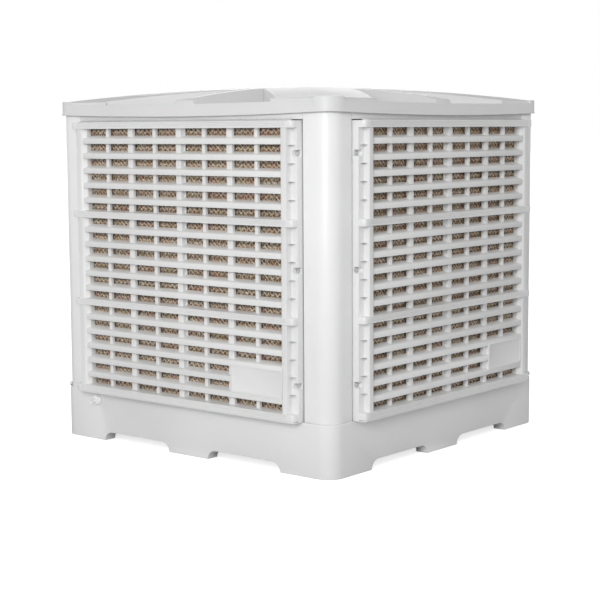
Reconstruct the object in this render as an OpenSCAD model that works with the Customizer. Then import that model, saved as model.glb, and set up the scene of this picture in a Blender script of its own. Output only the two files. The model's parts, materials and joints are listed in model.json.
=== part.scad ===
// Down-discharge evaporative cooler for greenhouses and nurseries.
// A moulded water tank carries four corner posts, a vaulted cover and four louvred panels.
// Each panel holds a wetted pad.  A fan in the tank's centre blows the cooled air downwards.
// Millimetres, +Z up.  The origin is on the floor under the middle of the tank.

/* [Tank] */
// Width of the square tank across its side faces
tank_w = 1100; // [1080:1:1140]
// Height of the tank from the floor to the seam under the posts
tank_h = 156; // [150:1:180]
// Radius of the tank's upright corners
tank_r = 50; // [44:1:56]
// Thickness of the tank's walls and floor
tank_wall = 5; // [4:0.5:6]
// Radius on the outer top edge of the tank
tank_lip_r = 3.5; // [2:0.5:4]
// Height of the underside of the tank's floor
floor_z = 34; // [34:1:40]
// Height of the fork notches in the tank's lower edge
notch_h = 28; // [20:1:29]
// Half width of the foot between the two notches of a side
notch_in = 80; // [70:1:110]
// Distance from a side face of the tank to the nearest notch of the next side
notch_side = 188; // [170:1:210]
// Length of the rounded corner at each end of a notch
notch_run = 32; // [24:1:44]
// Depth of the tunnel behind each notch
notch_depth = 40; // [30:1:60]
// Width of the inward flange under the feet
foot_flange = 25; // [15:1:35]

/* [Air outlet] */
// Distance from the tank's side to the inside of the outlet duct
duct_side = 230; // [227:1:240]
// Wall thickness of the outlet duct
duct_wall = 4; // [3:0.5:6]
// Height of the duct's lower end above the floor
duct_foot = 5; // [3:1:10]
// Width of the flange at the top of the duct
duct_flange = 30; // [24:1:34]
// Distance between the two bolt holes in each duct wall
duct_bolt_gap = 400; // [200:10:500]
// Diameter of the bolt holes in the duct walls
duct_bolt_d = 7; // [5:0.5:9]

/* [Corner posts] */
// Width of each face of a post
post_face = 96; // [88:1:104]
// How far a post's faces are set back from the tank's
post_inset = 4; // [3:0.5:6]
// Wall thickness of a post
post_wall = 4; // [3:0.5:4.5]
// Radius of a post's outer corner
post_r = 50; // [44:1:56]
// Depth of the rebate in which a panel seats
rebate = 16; // [14:1:20]
// Width of the post's ledge behind a panel
ledge_w = 32; // [30:1:36]
// Depth of the post's box behind the ledge
post_box = 90; // [84:1:94]

/* [Louvre panels] */
// Gap between a panel and the post beside it
panel_gap = 3; // [2:0.5:5]
// Number of sections between the heavy bars
sections = 3; // [2:1:3]
// Rows of air slots in each section
rows = 6; // [5:1:6]
// Height from one slot to the next
row_pitch = 45.5; // [43:0.5:47]
// Height of an air slot
slot_h = 20.5; // [17:0.5:25]
// Height of a heavy bar's face
bar_h = 20; // [18:0.5:22]
// How far the heavy bars stand out from the tank's side
bar_out = 40; // [38:0.5:46]
// How far the rim around the slots stands out
rim_out = 37; // [35:0.5:37]
// How far the blades stand out
blade_out = 33; // [30:0.5:34]
// Height of the upright face of a blade
blade_face = 16; // [12:0.5:18]
// How far the outer step stands out
step_out = 17; // [15:0.5:20]
// Width of the outer step
step_w = 24.5; // [22:0.5:28]
// Width of the rim's face
rim_w = 17.5; // [14:0.5:20]
// Width of the slope from the rim down to the slots
slope_w = 14; // [10:0.5:16]
// Wall thickness of a panel
panel_wall = 3; // [2.5:0.5:3]
// Width of the narrow upright ribs
rib_w = 12; // [8:0.5:16]
// Width of the broad upright ribs
broad_rib_w = 21; // [16:0.5:26]
// How far the upright ribs stand out
rib_out = 23; // [20:0.5:26]
// Depth of the upright ribs from front to back
rib_depth = 11; // [9:0.5:14]
// Extra width of the rear flange on the middle rib, each side
rib_flange = 4; // [2:0.5:5]
// Gap between the two gussets of a pair on the step
gusset_gap = 2; // [1.5:0.5:4]
// Width of the round pockets for the panel screws
pocket_d = 18; // [16:0.5:20]
// Distance from a panel's top edge to its first screw
screw_top = 90; // [60:1:110]
// Distance from one panel screw to the next
screw_gap = 325; // [290:1:340]

/* [Cooling pads] */
// Thickness of a pad
pad_t = 100; // [80:1:104]
// How far a pad's face lies outside the tank's side
pad_out = 5; // [3:0.5:6]
// Thickness of the tray and straps that hold a pad
strap_t = 3; // [2:0.5:3]
// Width of the upright straps behind a pad
strap_w = 14; // [10:1:20]

/* [Water troughs] */
// Height of the troughs over the pads
trough_h = 30; // [28:1:36]
// Wall thickness of a trough
trough_wall = 3; // [2:0.5:3]
// Diameter of the drip holes
drip_d = 6; // [4:0.5:8]
// Distance from one drip hole to the next
drip_pitch = 40; // [30:1:60]
// Outer diameter of the water pipes
pipe_d = 20; // [16:0.5:20]
// Wall thickness of the water pipes
pipe_wall = 2; // [1.5:0.5:3]

/* [Cover] */
// How far the cover stands out past the tank
cover_over = 7; // [6:0.5:10]
// How far the lip along the skirt's lower edge stands out
skirt_lip = 2; // [1:0.5:3]
// Wall thickness of the cover
cover_wall = 4; // [3:0.5:4]
// How far the skirt laps down over the posts at the corners
skirt_lap = 8.5; // [7:0.5:12]
// Height of the skirt at the corners
skirt_h = 32.5; // [32:0.5:38]
// How far the skirt's lower edge sags in mid side
skirt_sag = 10; // [6:0.5:10]
// How far the skirt's upper edge sags in mid side
top_sag = 7; // [4:0.5:7]
// Width of the ledge around the vault
cover_ledge = 11; // [9:0.5:16]
// Height of the raised caps on the cover's corners
cap_h = 8; // [4:0.5:10]
// Width of the raised caps on the cover's corners
cap_w = 62; // [56:1:75]
// Height of the vault's edge over the ledge at the corners
vault_foot = 5; // [3:0.5:6]
// Rise of the vault from its edge to its middle
vault_rise = 47; // [40:0.5:60]
// Half width of the spines that run to the middle of each side
spine_w = 33; // [24:1:38]
// Distance along a side from the middle to the diagonal ridges
ridge_at = 352; // [330:1:380]
// Length of the slanted corner where a hollow meets a ridge
ridge_cut = 20; // [10:1:80]
// Slope of the spines' sides, as run over rise
hollow_draft = 0.7; // [0.4:0.05:0.8]
// Slope of the ridges' sides, as run over rise
ridge_draft = 0.1; // [0.05:0.05:0.3]

/* [Fan] */
// Gap between the fan's shroud and the duct's wall, each side
shroud_gap = 10; // [6:1:20]
// Height of the shroud's ring
shroud_h = 84; // [70:1:90]
// Gap between the blade tips and the shroud
tip_gap = 6; // [4:0.5:12]
// Number of fan blades
blades = 7; // [5:1:8]
// Chord of a blade
chord = 120; // [90:1:130]
// Pitch of the blades in degrees
blade_pitch = 28; // [22:1:32]
// Diameter of the fan hub
hub_d = 150; // [130:1:180]
// Height of the fan hub
hub_h = 50; // [44:1:56]
// Diameter of the motor shaft
shaft_d = 20; // [16:0.5:24]
// Diameter of the motor's body
motor_d = 176; // [160:1:190]
// Height of the motor's body
motor_h = 190; // [160:1:220]
// Distance between the two beams that carry the motor
beam_gap = 150; // [140:1:160]

/* [Water supply] */
// Distance of the water inlet from the tank's left side
inlet_side = 156; // [150:1:164]
// Distance of the water inlet below the tank's top
inlet_drop = 29; // [27:1:30]
// Diameter of the inlet's outer spigot
inlet_d = 16; // [13:0.5:18]
// Length of the inlet's outer spigot past its nut
inlet_len = 14; // [10:1:20]
// Diameter of the float ball
float_d = 64; // [50:1:66]
// Gap under the float ball when it rests over the tank's floor
float_gap = 3.7; // [3:0.1:8]
// Length of the float arm from its pivot to the ball's middle
float_len = 150; // [140:1:170]
// Diameter of the overflow standpipe
overflow_d = 40; // [34:1:44]
// Height of the overflow standpipe's rim over the tank's floor
overflow_h = 85; // [60:1:90]
// Gap between the pump's strainer and the duct's flange
pump_gap = 1.5; // [1:0.5:4]
// Height of the pump's body
pump_h = 112; // [100:1:130]

/* [Fits] */
// Clearance between pieces that seat in each other
seat = 0.3; // [0.2:0.05:0.5]
// Radial clearance of shafts and pins that turn
run = 0.05; // [0.03:0.01:0.1]

/* [Hidden] */
$fn = 48;

plastic = "gainsboro";
eps = 0.01;
big = 1000;

// Plan
half = tank_w / 2;
post_out = half - post_inset;
post_in = post_out - post_face;
ledge_at = post_out - rebate;
ledge_in = post_in - ledge_w;
box_at = ledge_at - post_box;
panel_half = post_in - panel_gap;
step_in = panel_half - step_w;
rim_in = step_in - rim_w;
grid_half = rim_in - slope_w;
slot_w = (grid_half - broad_rib_w * 1.5 - rib_w * 2) / 4;
narrow_ribs = [broad_rib_w / 2 + slot_w + rib_w / 2, broad_rib_w * 1.5 + 3 * slot_w + rib_w * 1.5];
broad_rib_at = broad_rib_w + 2 * slot_w + rib_w;
panel_foot = seat - post_inset - rebate;
pad_half = ledge_in - 3;
duct_w = tank_w - 2 * duct_side;
duct_half = duct_w / 2 + duct_wall;
notch_out = half - notch_side;
blade_half = rim_in - slope_w * (rim_out - blade_out) / (rim_out - rib_out) - 0.5;

// Heights
deck_t = 4;
screw_d = 5;
bolt_d = 8;
panel_z = tank_h + 0.5;
bar_z = tank_h + 5;
section_h = rows * row_pitch;
panel_top = bar_z + sections * section_h + bar_h;
lug_h = 2.5;
trough_z = panel_top + lug_h + 0.5;
plate_x = broad_rib_at + 6;
plate_w = rim_in - 4 - plate_x;
plate_h = 83;
plate_z = bar_z + section_h - 4 * row_pitch - plate_h / 2 + 11;
post_top = trough_z + trough_h;
tray_z = panel_z + panel_wall + seat;
pad_z = tray_z + strap_t + seat;
pad_top = panel_top - panel_wall - seat;
pipe_z = trough_z + trough_wall + pipe_d / 2 + 2;
floor_top = floor_z + tank_wall;

// Duct and fan
gasket_t = 3;
duct_lip = 24;
duct_bolt_z = duct_foot + 13;
duct_top = tank_h - 6;
duct_screws_at = [for (k = [0:3], x = [-1:1]) turned([x * duct_w * 0.375, -duct_half - duct_lip / 2], k)];
plate_half = duct_half + duct_flange;
shroud_d = duct_w - 2 * shroud_gap;
shroud_z = duct_top + deck_t;
plate_screws_at = [for (k = [0:3], x = [-1, 1]) turned([x * duct_w / 2, -plate_half + duct_flange / 2], k)];
beam_w = 40;
beam_h = 30;
leg_d = 25;
beam_y = plate_half - leg_d / 2 - 3.5;
beam_z = shroud_z + shroud_h + 60;
motor_z = beam_z + beam_h;
hub_z = shroud_z + shroud_h / 2 - hub_h / 2;
motor_foot = beam_gap + beam_w;
motor_bolt_y = motor_foot * 0.4;
legs_at = [for (x = [-1, 1], y = [-1, 1]) [x * beam_gap / 2, y * beam_y]];
shaft_in = 70;
box_x = motor_d / 2 - 2 + seat;
box_z = motor_z + motor_h * 0.35;
box_w = 90;
box_h = 64;
box_boss = 44;

// Water
bush_d = 34;
bush_tail = 16;
overflow_at = ledge_in - 28;
floor_rib_at = overflow_at + bush_d / 2 + 15;
inlet_x = half - inlet_side;
inlet_z = tank_h - inlet_drop;
valve_w = 34;
pin_z = inlet_z - 16;
pin_y = -half + tank_wall + 60;
pin_x = -inlet_x + 30;
pin_d = 5;
float_drop = asin((pin_z - floor_top - float_gap - float_d / 2) / float_len);
pump_z = floor_top + 40;
riser_at = (duct_half + duct_lip + ledge_in) / 2;
strainer_rim = 8;
lip_r = 12;
strainer_r = sqrt(2) * (riser_at - duct_half - duct_lip + lip_r) - lip_r - pump_gap;
pump_d = 2 * (strainer_r - strainer_rim);

header_at = half + pad_out - pad_t / 2;
elbow_at = header_at - 22;

// Cover
cover_half = half + cover_over;
vault_half = cover_half - cover_ledge;
skirt_z = post_top - skirt_lap;
skirt_top = skirt_z + skirt_h;
ledge_mid = skirt_top - top_sag;
vault_edge = skirt_top + vault_foot;
vault_top = vault_edge + vault_rise;
vault_r = (vault_half * vault_half + vault_rise * vault_rise) / (2 * vault_rise);
hollow_z = ledge_mid - 1;

// Screws, as places in plan or as (distance from the middle of a side, height)
pocket_edge = pocket_d / 2 + 1;
panel_screws_at = [for (s = [-1, 1], k = [0:sections - 1])
    [s * (panel_half - pocket_edge), panel_top - screw_top - k * screw_gap]];
cover_screws_at = [[post_out - 70, post_out - 18], [post_out - 18, post_out - 70]];
foot_screws_at = [[post_in + 20, post_out - 22], [post_out - 22, post_in + 20]];
seam_screw_z = tank_h + 7;

function turned(p, k) = [p[0] * cos(90 * k) - p[1] * sin(90 * k), p[0] * sin(90 * k) + p[1] * cos(90 * k)];

// Sweeps a profile drawn as (distance out from the face, height) round a square
module around(half_w, r) {
    for (k = [0:3]) rotate([0, 0, 90 * k]) {
        translate([-(half_w - r), -half_w, 0])
            rotate([90, 0, 90]) linear_extrude(2 * (half_w - r)) mirror([1, 0]) children();
        translate([half_w - r, -(half_w - r), 0])
            rotate([0, 0, -90]) rotate_extrude(angle = 90) translate([r, 0]) children();
    }
}

module rounded_square(half_w, r) {
    square([2 * half_w, 2 * (half_w - r)], center = true);
    square([2 * (half_w - r), 2 * half_w], center = true);
    for (x = [-1, 1], y = [-1, 1]) translate([x, y] * (half_w - r)) circle(r, $fn = 96);
}

// Repeats its child on the front, right, rear and left sides
module on_sides() {
    for (k = [0:3]) rotate([0, 0, 90 * k]) children();
}

// Everything on the positive side of a plane through p with normal n
module half_space(p, n) {
    u = n / norm(n);
    translate(p) rotate([0, -asin(u[2]), atan2(u[1], u[0])])
        translate([0, -big, -big]) cube([2 * big, 2 * big, 2 * big]);
}

// ---- Tank ----

// Outline of the two fork notches in the plane of a side, grown outwards by a wall
module notch_outline(grow) {
    steps = 10;
    top = grow > 0 ? floor_z + 1 : notch_h;
    ramp = [for (k = [0:steps])
        [notch_run * (1 - cos(90 * k / steps)) - grow, top * sin(90 * k / steps)]];
    for (m = [0, 1]) mirror([m, 0]) polygon(concat(
        [[notch_in - grow, -5]],
        [for (k = [0:steps]) [notch_in + ramp[k][0], ramp[k][1]]],
        [for (k = [steps:-1:0]) [notch_out - ramp[k][0], ramp[k][1]]],
        [[notch_out + grow, -5]]));
}

module notches(grow, depth) {
    on_sides() translate([0, -half + (grow > 0 ? tank_wall / 2 : -1), 0])
        rotate([90, 0, 0]) mirror([0, 0, 1]) linear_extrude(depth) notch_outline(grow);
}

// Section of the tank's wall, with the foot flange, the top flange and its rounded lip
module tank_wall_profile() {
    lip_z = tank_h - tank_lip_r;
    translate([-tank_wall, 0]) square([tank_wall, lip_z]);
    translate([-foot_flange, 0]) square([foot_flange, deck_t]);
    translate([-foot_flange, tank_h - deck_t]) square([foot_flange - tank_lip_r, deck_t]);
    translate([-tank_wall, lip_z - eps]) square([tank_wall - tank_lip_r, tank_lip_r]);
    translate([-tank_lip_r, lip_z]) circle(tank_lip_r);
}

module tank() {
    hole = duct_half + seat;
    color(plastic) difference() {
        union() {
            around(half, tank_r) tank_wall_profile();
            // Floor with the opening for the duct
            translate([0, 0, floor_z]) linear_extrude(tank_wall)
                rounded_square(half - tank_wall / 2, tank_r - tank_wall / 2);
            // Decks under the posts
            for (k = [0:3]) rotate([0, 0, 90 * k]) translate([0, 0, tank_h - deck_t])
                linear_extrude(deck_t) intersection() {
                    rounded_square(half - tank_wall / 2, tank_r - tank_wall / 2);
                    translate([ledge_in, -half]) square(half - ledge_in);
                }
            // Tunnels behind the notches
            intersection() {
                notches(tank_wall - 1, notch_depth);
                linear_extrude(floor_z + 1) square(2 * half - 2, center = true);
            }
            // Ribs under the floor
            on_sides() for (x = [-floor_rib_at, -notch_in / 2, notch_in / 2, floor_rib_at])
                translate([x - 2, -half + tank_wall / 2, floor_z - 22])
                    cube([4, half - duct_half - duct_lip, 23]);
        }
        translate([0, 0, floor_z - 1]) linear_extrude(tank_wall + 2) square(2 * hole, center = true);
        notches(0, notch_depth + tank_wall);
        translate([-inlet_x, -half + 20, inlet_z]) rotate([90, 0, 0])
            cylinder(d = inlet_d + 4 + 2 * seat, h = 40);
        translate([-overflow_at, overflow_at, floor_z - 1])
            cylinder(d = bush_d + 2 * seat, h = tank_wall + 2);
        for (p = duct_screws_at) translate([p[0], p[1], floor_z - 1])
            cylinder(d = screw_d + 2 * seat, h = tank_wall + 2);
        on_sides() for (p = foot_screws_at) translate([p[0], -p[1], tank_h - deck_t - 1])
            cylinder(d = screw_d + 2 * seat, h = deck_t + 2);
    }
}

// ---- Air outlet ----

module outlet_duct() {
    color("silver") difference() {
        union() {
            translate([0, 0, duct_foot]) linear_extrude(duct_top + deck_t - duct_foot)
                square(2 * duct_half, center = true);
            translate([0, 0, duct_top]) linear_extrude(deck_t) rounded_square(plate_half, 12);
            translate([0, 0, floor_top + gasket_t]) linear_extrude(deck_t)
                rounded_square(duct_half + duct_lip, lip_r);
        }
        translate([0, 0, duct_foot - 1]) linear_extrude(tank_h) square(duct_w, center = true);
        on_sides() for (x = [-1, 1])
            translate([x * duct_bolt_gap / 2, -duct_half + duct_wall + 1, duct_bolt_z]) rotate([90, 0, 0])
                cylinder(d = duct_bolt_d, h = duct_wall + 2);
        for (p = duct_screws_at) translate([p[0], p[1], floor_z])
            cylinder(d = screw_d + 2 * seat, h = tank_wall + gasket_t + deck_t + 1);
        for (p = plate_screws_at) translate([p[0], p[1], duct_top - 1])
            cylinder(d = screw_d + 2 * seat, h = deck_t + 2);
        for (p = legs_at) translate([p[0], p[1], duct_top - 1])
            cylinder(d = bolt_d + 2 * seat, h = deck_t + 2);
    }
}

module duct_gasket() {
    color("dimgray") translate([0, 0, floor_top]) difference() {
        linear_extrude(gasket_t) difference() {
            rounded_square(duct_half + duct_lip, lip_r);
            square(2 * (duct_half + seat), center = true);
        }
        for (p = duct_screws_at) translate([p[0], p[1], -1])
            cylinder(d = screw_d + 2 * seat, h = gasket_t + 2);
    }
}

module duct_screws() {
    grip = tank_wall + gasket_t + deck_t;
    color("silver") for (p = duct_screws_at) translate([p[0], p[1], 0]) {
        translate([0, 0, floor_z - 4]) cylinder(d = 8, h = 4, $fn = 6);
        translate([0, 0, floor_z - eps]) cylinder(d = screw_d, h = grip + 2 * eps);
        translate([0, 0, floor_z + grip]) cylinder(d = 9, h = 3.5);
    }
}

// ---- Corner posts ----

module post_skin() {
    intersection() {
        difference() {
            rounded_square(post_out, post_r);
            rounded_square(post_out - post_wall, post_r - post_wall);
        }
        translate([post_in, -post_out]) square(post_face);
    }
    // Rebate beside the panel, on both faces
    for (m = [0, 1]) mirror([m, m]) {
        translate([post_in, -post_out + post_wall / 2])
            square([post_wall, rebate + post_wall / 2]);
    }
}

module post_box_walls() {
    for (m = [0, 1]) mirror([m, m]) {
        translate([ledge_in, -ledge_at]) square([ledge_w + post_wall, post_wall]);
        translate([ledge_in, -ledge_at]) square([post_wall, post_box]);
        translate([ledge_in, -box_at - post_wall]) square([box_at + post_wall - ledge_in, post_wall]);
    }
}

// The place of a seam screw's head on the rounded corner of a post, with +Z pointing outwards
module on_corner() {
    translate([post_out - post_r, post_r - post_out, seam_screw_z])
        rotate([0, 0, -45]) rotate([0, 90, 0]) translate([0, 0, post_r]) children();
}

// A post, with a hole for a seam screw in its corner when screwed is true
module post(screwed) {
    color(plastic) difference() {
        union() {
            translate([0, 0, tank_h]) linear_extrude(post_top - tank_h) post_skin();
            translate([0, 0, tank_h]) linear_extrude(trough_z - tank_h) post_box_walls();
            for (z = [tank_h, post_top - deck_t]) translate([0, 0, z]) linear_extrude(deck_t)
                intersection() {
                    rounded_square(post_out - eps, post_r);
                    union() {
                        translate([post_in, -post_out]) square(post_face);
                        if (z == tank_h) translate([ledge_in, -ledge_at]) square(ledge_at - ledge_in);
                    }
                }
        }
        // Holes for the panel screws in both ledges
        for (m = [0, 1]) mirror([m, m, 0]) for (p = panel_screws_at) if (p[0] > 0)
            translate([p[0], -ledge_at - 1, p[1]]) rotate([-90, 0, 0])
                cylinder(d = screw_d + 2 * seat, h = post_wall + 2);
        for (p = cover_screws_at) translate([p[0], -p[1], post_top - deck_t - 1])
            cylinder(d = screw_d + 2 * seat, h = deck_t + 2);
        for (p = foot_screws_at) translate([p[0], -p[1], tank_h - 1])
            cylinder(d = screw_d + 2 * seat, h = deck_t + 2);
        if (screwed) on_corner() translate([0, 0, -post_wall - 1])
            cylinder(d = screw_d + 2 * seat, h = post_wall + 2);
    }
}

module seam_screw() {
    on_corner() {
        translate([0, 0, eps]) cylinder(d = 12, h = 5);
        intersection() {
            translate([0, 0, 5]) cylinder(d = 12, h = 2.5);
            translate([0, 0, -6]) sphere(r = 13.5);
        }
        translate([0, 0, -post_wall - 8]) cylinder(d = screw_d, h = post_wall + 9);
    }
}

module seam_screws() {
    color("silver") for (k = [1:3]) rotate([0, 0, 90 * k]) seam_screw();
}

module post_screws() {
    color("silver") on_sides() for (p = foot_screws_at) translate([p[0], -p[1], tank_h - deck_t - 8]) {
        cylinder(d = 10, h = 8 - eps, $fn = 6);
        cylinder(d = screw_d, h = 8 + 2 * deck_t + eps);
        translate([0, 0, 8 + 2 * deck_t]) cylinder(d = 10, h = 4);
    }
}

// ---- Water distribution ----

module trough() {
    end = post_in - 0.5;
    back = -end - seat;
    depth = post_out + back;
    color(plastic) difference() {
        translate([-end, -post_out, trough_z]) cube([2 * end, depth, trough_h]);
        translate([-end + trough_wall, -post_out + trough_wall, trough_z + trough_wall])
            cube([2 * (end - trough_wall), depth - 2 * trough_wall, trough_h]);
        // Drip holes over the pad
        for (x = [-floor(pad_half / drip_pitch - 0.5):floor(pad_half / drip_pitch - 0.5)])
            translate([x * drip_pitch, -header_at, trough_z - 1])
                cylinder(d = drip_d, h = trough_wall + 2);
        // Holes for the header pipe in the end walls, and a notch for the riser's branch
        translate([-half, -header_at, pipe_z]) rotate([0, 90, 0])
            cylinder(d = pipe_d + 2 * seat, h = 2 * half);
        translate([riser_at - pipe_d / 2 - 2, back - trough_wall - 1, pipe_z - pipe_d / 2 - 2])
            cube([pipe_d + 4, trough_wall + 2, trough_h]);
    }
}

module header_pipes() {
    color("white") on_sides() translate([-elbow_at, -header_at, pipe_z]) rotate([0, 90, 0])
        difference() {
            cylinder(d = pipe_d, h = 2 * elbow_at);
            translate([0, 0, -1]) cylinder(d = pipe_d - 2 * pipe_wall, h = 2 * elbow_at + 2);
        }
}

module header_elbows() {
    elbow_d = pipe_d + 1;
    color("white") on_sides() translate([header_at, -header_at, pipe_z]) {
        sphere(d = elbow_d);
        rotate([0, -90, 0]) cylinder(d = elbow_d, h = header_at - elbow_at);
        rotate([-90, 0, 0]) cylinder(d = elbow_d, h = header_at - elbow_at);
    }
}

module riser_pipe() {
    branch = header_at - riser_at - pipe_d / 2 - seat;
    bottom = pump_z + pump_h + 6;
    color("dimgray") {
        translate([riser_at, -riser_at, bottom]) cylinder(d = pipe_d, h = pipe_z - bottom);
        translate([riser_at, -riser_at, pipe_z]) sphere(d = pipe_d);
        translate([riser_at, -riser_at, pipe_z]) rotate([90, 0, 0]) cylinder(d = pipe_d, h = branch);
    }
}

// ---- Cover ----

module vault(drop) {
    intersection_for (a = [0, 90]) rotate([0, 0, a]) translate([0, 0, vault_top - vault_r])
        rotate([90, 0, 0]) cylinder(r = vault_r - drop, h = 3 * half, center = true, $fn = 720);
}

// One of the eight hollows between a spine and a ridge, grown by a wall
module hollow(grow) {
    rise = vault_rise / vault_half;
    spine_n = [1, -hollow_draft * rise, hollow_draft];
    ridge_n = [-1, -1, 0] / sqrt(2) + ridge_draft * [0, -rise / 2, 1];
    cut_n = [-1, 2, 0];
    intersection() {
        half_space([spine_w, -vault_half, vault_edge] - grow * spine_n / norm(spine_n), spine_n);
        half_space([ridge_at, -vault_half, vault_edge] - grow * ridge_n / norm(ridge_n), ridge_n);
        half_space([ridge_at - ridge_cut, -vault_half, vault_edge] - grow * cut_n / norm(cut_n), cut_n);
        translate([0, -vault_half - grow, hollow_z - grow]) cube([half, half, 200]);
    }
}

module hollows(grow) {
    on_sides() for (m = [0, 1]) mirror([m, 0, 0]) hollow(grow);
}

// Everything above a line that sags towards the middle of each side
module above_sag(z, sag) {
    steps = 14;
    reach = cover_half + 5;
    for (a = [0, 90]) rotate([90, 0, a]) linear_extrude(3 * half, center = true) polygon(concat(
        [[reach, z + 200], [-reach, z + 200]],
        [for (k = [-steps:steps]) [reach * k / steps, z - sag + sag * pow(k / steps, 2)]]));
}

// Everything below such a line
module below_sag(z, sag) {
    steps = 14;
    reach = cover_half + 5;
    intersection_for (a = [0, 90]) rotate([90, 0, a]) linear_extrude(3 * half, center = true)
        polygon(concat([[reach, z - 200], [-reach, z - 200]],
            [for (k = [-steps:steps]) [reach * k / steps, z - sag + sag * pow(k / steps, 2)]]));
}

module top_cover() {
    skirt_half = cover_half - skirt_lip;
    skirt_r = tank_r + cover_over - skirt_lip;
    color(plastic) difference() {
        union() {
            // Skirt and ledge, with the corner caps
            difference() {
                translate([0, 0, skirt_z - skirt_sag]) linear_extrude(skirt_h + skirt_sag + cap_h)
                    rounded_square(skirt_half, skirt_r);
                difference() {
                    above_sag(skirt_top, top_sag);
                    on_sides() translate([skirt_half - cap_w, -skirt_half - 1, skirt_top - 20])
                        cube([cap_w + 1, cap_w + 1, 300]);
                }
                below_sag(skirt_z, skirt_sag);
            }
            // Lip along the skirt's lower edge
            difference() {
                translate([0, 0, skirt_z - skirt_sag]) linear_extrude(skirt_sag + 4)
                    rounded_square(cover_half, skirt_r + skirt_lip);
                above_sag(skirt_z + 4, skirt_sag);
                below_sag(skirt_z, skirt_sag);
            }
            // Vault with its hollows
            difference() {
                intersection() {
                    translate([0, 0, hollow_z - 10]) linear_extrude(vault_top)
                        rounded_square(vault_half, tank_r + cover_over - cover_ledge);
                    vault(0);
                }
                hollows(0);
            }
        }
        // Cavity, with the bosses that stand on the posts left in it
        difference() {
            union() {
                translate([0, 0, skirt_z - 50]) linear_extrude(hollow_z - cover_wall - skirt_z + 50)
                    rounded_square(skirt_half - cover_wall, skirt_r - cover_wall);
                intersection() {
                    translate([0, 0, hollow_z - 20]) linear_extrude(vault_top)
                        rounded_square(vault_half - cover_wall, tank_r + cover_over - cover_ledge - cover_wall);
                    vault(cover_wall);
                }
            }
            hollows(cover_wall);
            on_sides() for (p = cover_screws_at) translate([p[0], -p[1], post_top])
                cylinder(d = 20, h = hollow_z - post_top + 20);
        }
        on_sides() for (p = cover_screws_at) translate([p[0], -p[1], post_top - 1])
            cylinder(d = screw_d + 2 * seat, h = 11);
    }
}

module cover_screws() {
    color("silver") on_sides() for (p = cover_screws_at) translate([p[0], -p[1], post_top - deck_t - 4]) {
        cylinder(d = 10, h = 4);
        cylinder(d = screw_d, h = 4 + deck_t + 8);
    }
}

// ---- Fan ----

module fan_shroud() {
    r = shroud_d / 2;
    flare = 14;
    color("silver") difference() {
        union() {
            translate([0, 0, shroud_z]) linear_extrude(deck_t) rounded_square(plate_half, 12);
            translate([0, 0, shroud_z]) cylinder(r = r + 3, h = shroud_h - flare + 2, $fn = 180);
            // Rolled bell mouth
            translate([0, 0, shroud_z + shroud_h - flare]) rotate_extrude($fn = 180) difference() {
                translate([r, 0]) square(flare);
                translate([r + flare + 2, -2]) circle(flare - 1);
            }
        }
        translate([0, 0, shroud_z - 1]) cylinder(r = r, h = shroud_h + 2, $fn = 180);
        for (p = plate_screws_at) translate([p[0], p[1], shroud_z - 1])
            cylinder(d = screw_d + 2 * seat, h = deck_t + 2);
        for (p = legs_at) translate([p[0], p[1], shroud_z - 1])
            cylinder(d = bolt_d + 2 * seat, h = deck_t + 2);
    }
}

module shroud_screws() {
    color("silver") for (p = plate_screws_at) translate([p[0], p[1], 0]) {
        translate([0, 0, duct_top - 4]) cylinder(d = 8, h = 4, $fn = 6);
        translate([0, 0, duct_top - eps]) cylinder(d = screw_d, h = 2 * deck_t + 2 * eps);
        translate([0, 0, duct_top + 2 * deck_t]) cylinder(d = 9, h = 3.5);
    }
}

module beam_legs() {
    color("silver") for (p = legs_at) translate([p[0], p[1], shroud_z + deck_t]) difference() {
        cylinder(d = leg_d, h = beam_z - shroud_z - deck_t);
        translate([0, 0, -1]) cylinder(d = leg_d - 5, h = beam_z);
    }
}

// Long bolts from under the duct's flange through the legs and the beams
module beam_bolts() {
    color("silver") for (p = legs_at) translate([p[0], p[1], duct_top]) {
        translate([0, 0, -5]) cylinder(d = 13, h = 5, $fn = 6);
        translate([0, 0, -eps]) cylinder(d = bolt_d, h = motor_z - duct_top + 12);
        translate([0, 0, motor_z - duct_top]) cylinder(d = 13, h = 6.5, $fn = 6);
    }
}

module motor_beams() {
    reach = beam_y + leg_d;
    tube = 3;
    color("silver") for (x = [-1, 1]) translate([x * beam_gap / 2, 0, beam_z]) difference() {
        translate([-beam_w / 2, -reach, 0]) cube([beam_w, 2 * reach, beam_h]);
        translate([-beam_w / 2 + tube, -reach - 1, tube])
            cube([beam_w - 2 * tube, 2 * reach + 2, beam_h - 2 * tube]);
        for (y = [-1, 1]) translate([0, y * motor_bolt_y, 0]) {
            translate([0, 0, -1]) cylinder(d = 18, h = tube + 2);
            cylinder(d = bolt_d + 2 * seat, h = beam_h + 1);
        }
        for (y = [-1, 1]) translate([0, y * beam_y, -1]) cylinder(d = bolt_d + 2 * seat, h = beam_h + 2);
    }
}

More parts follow.
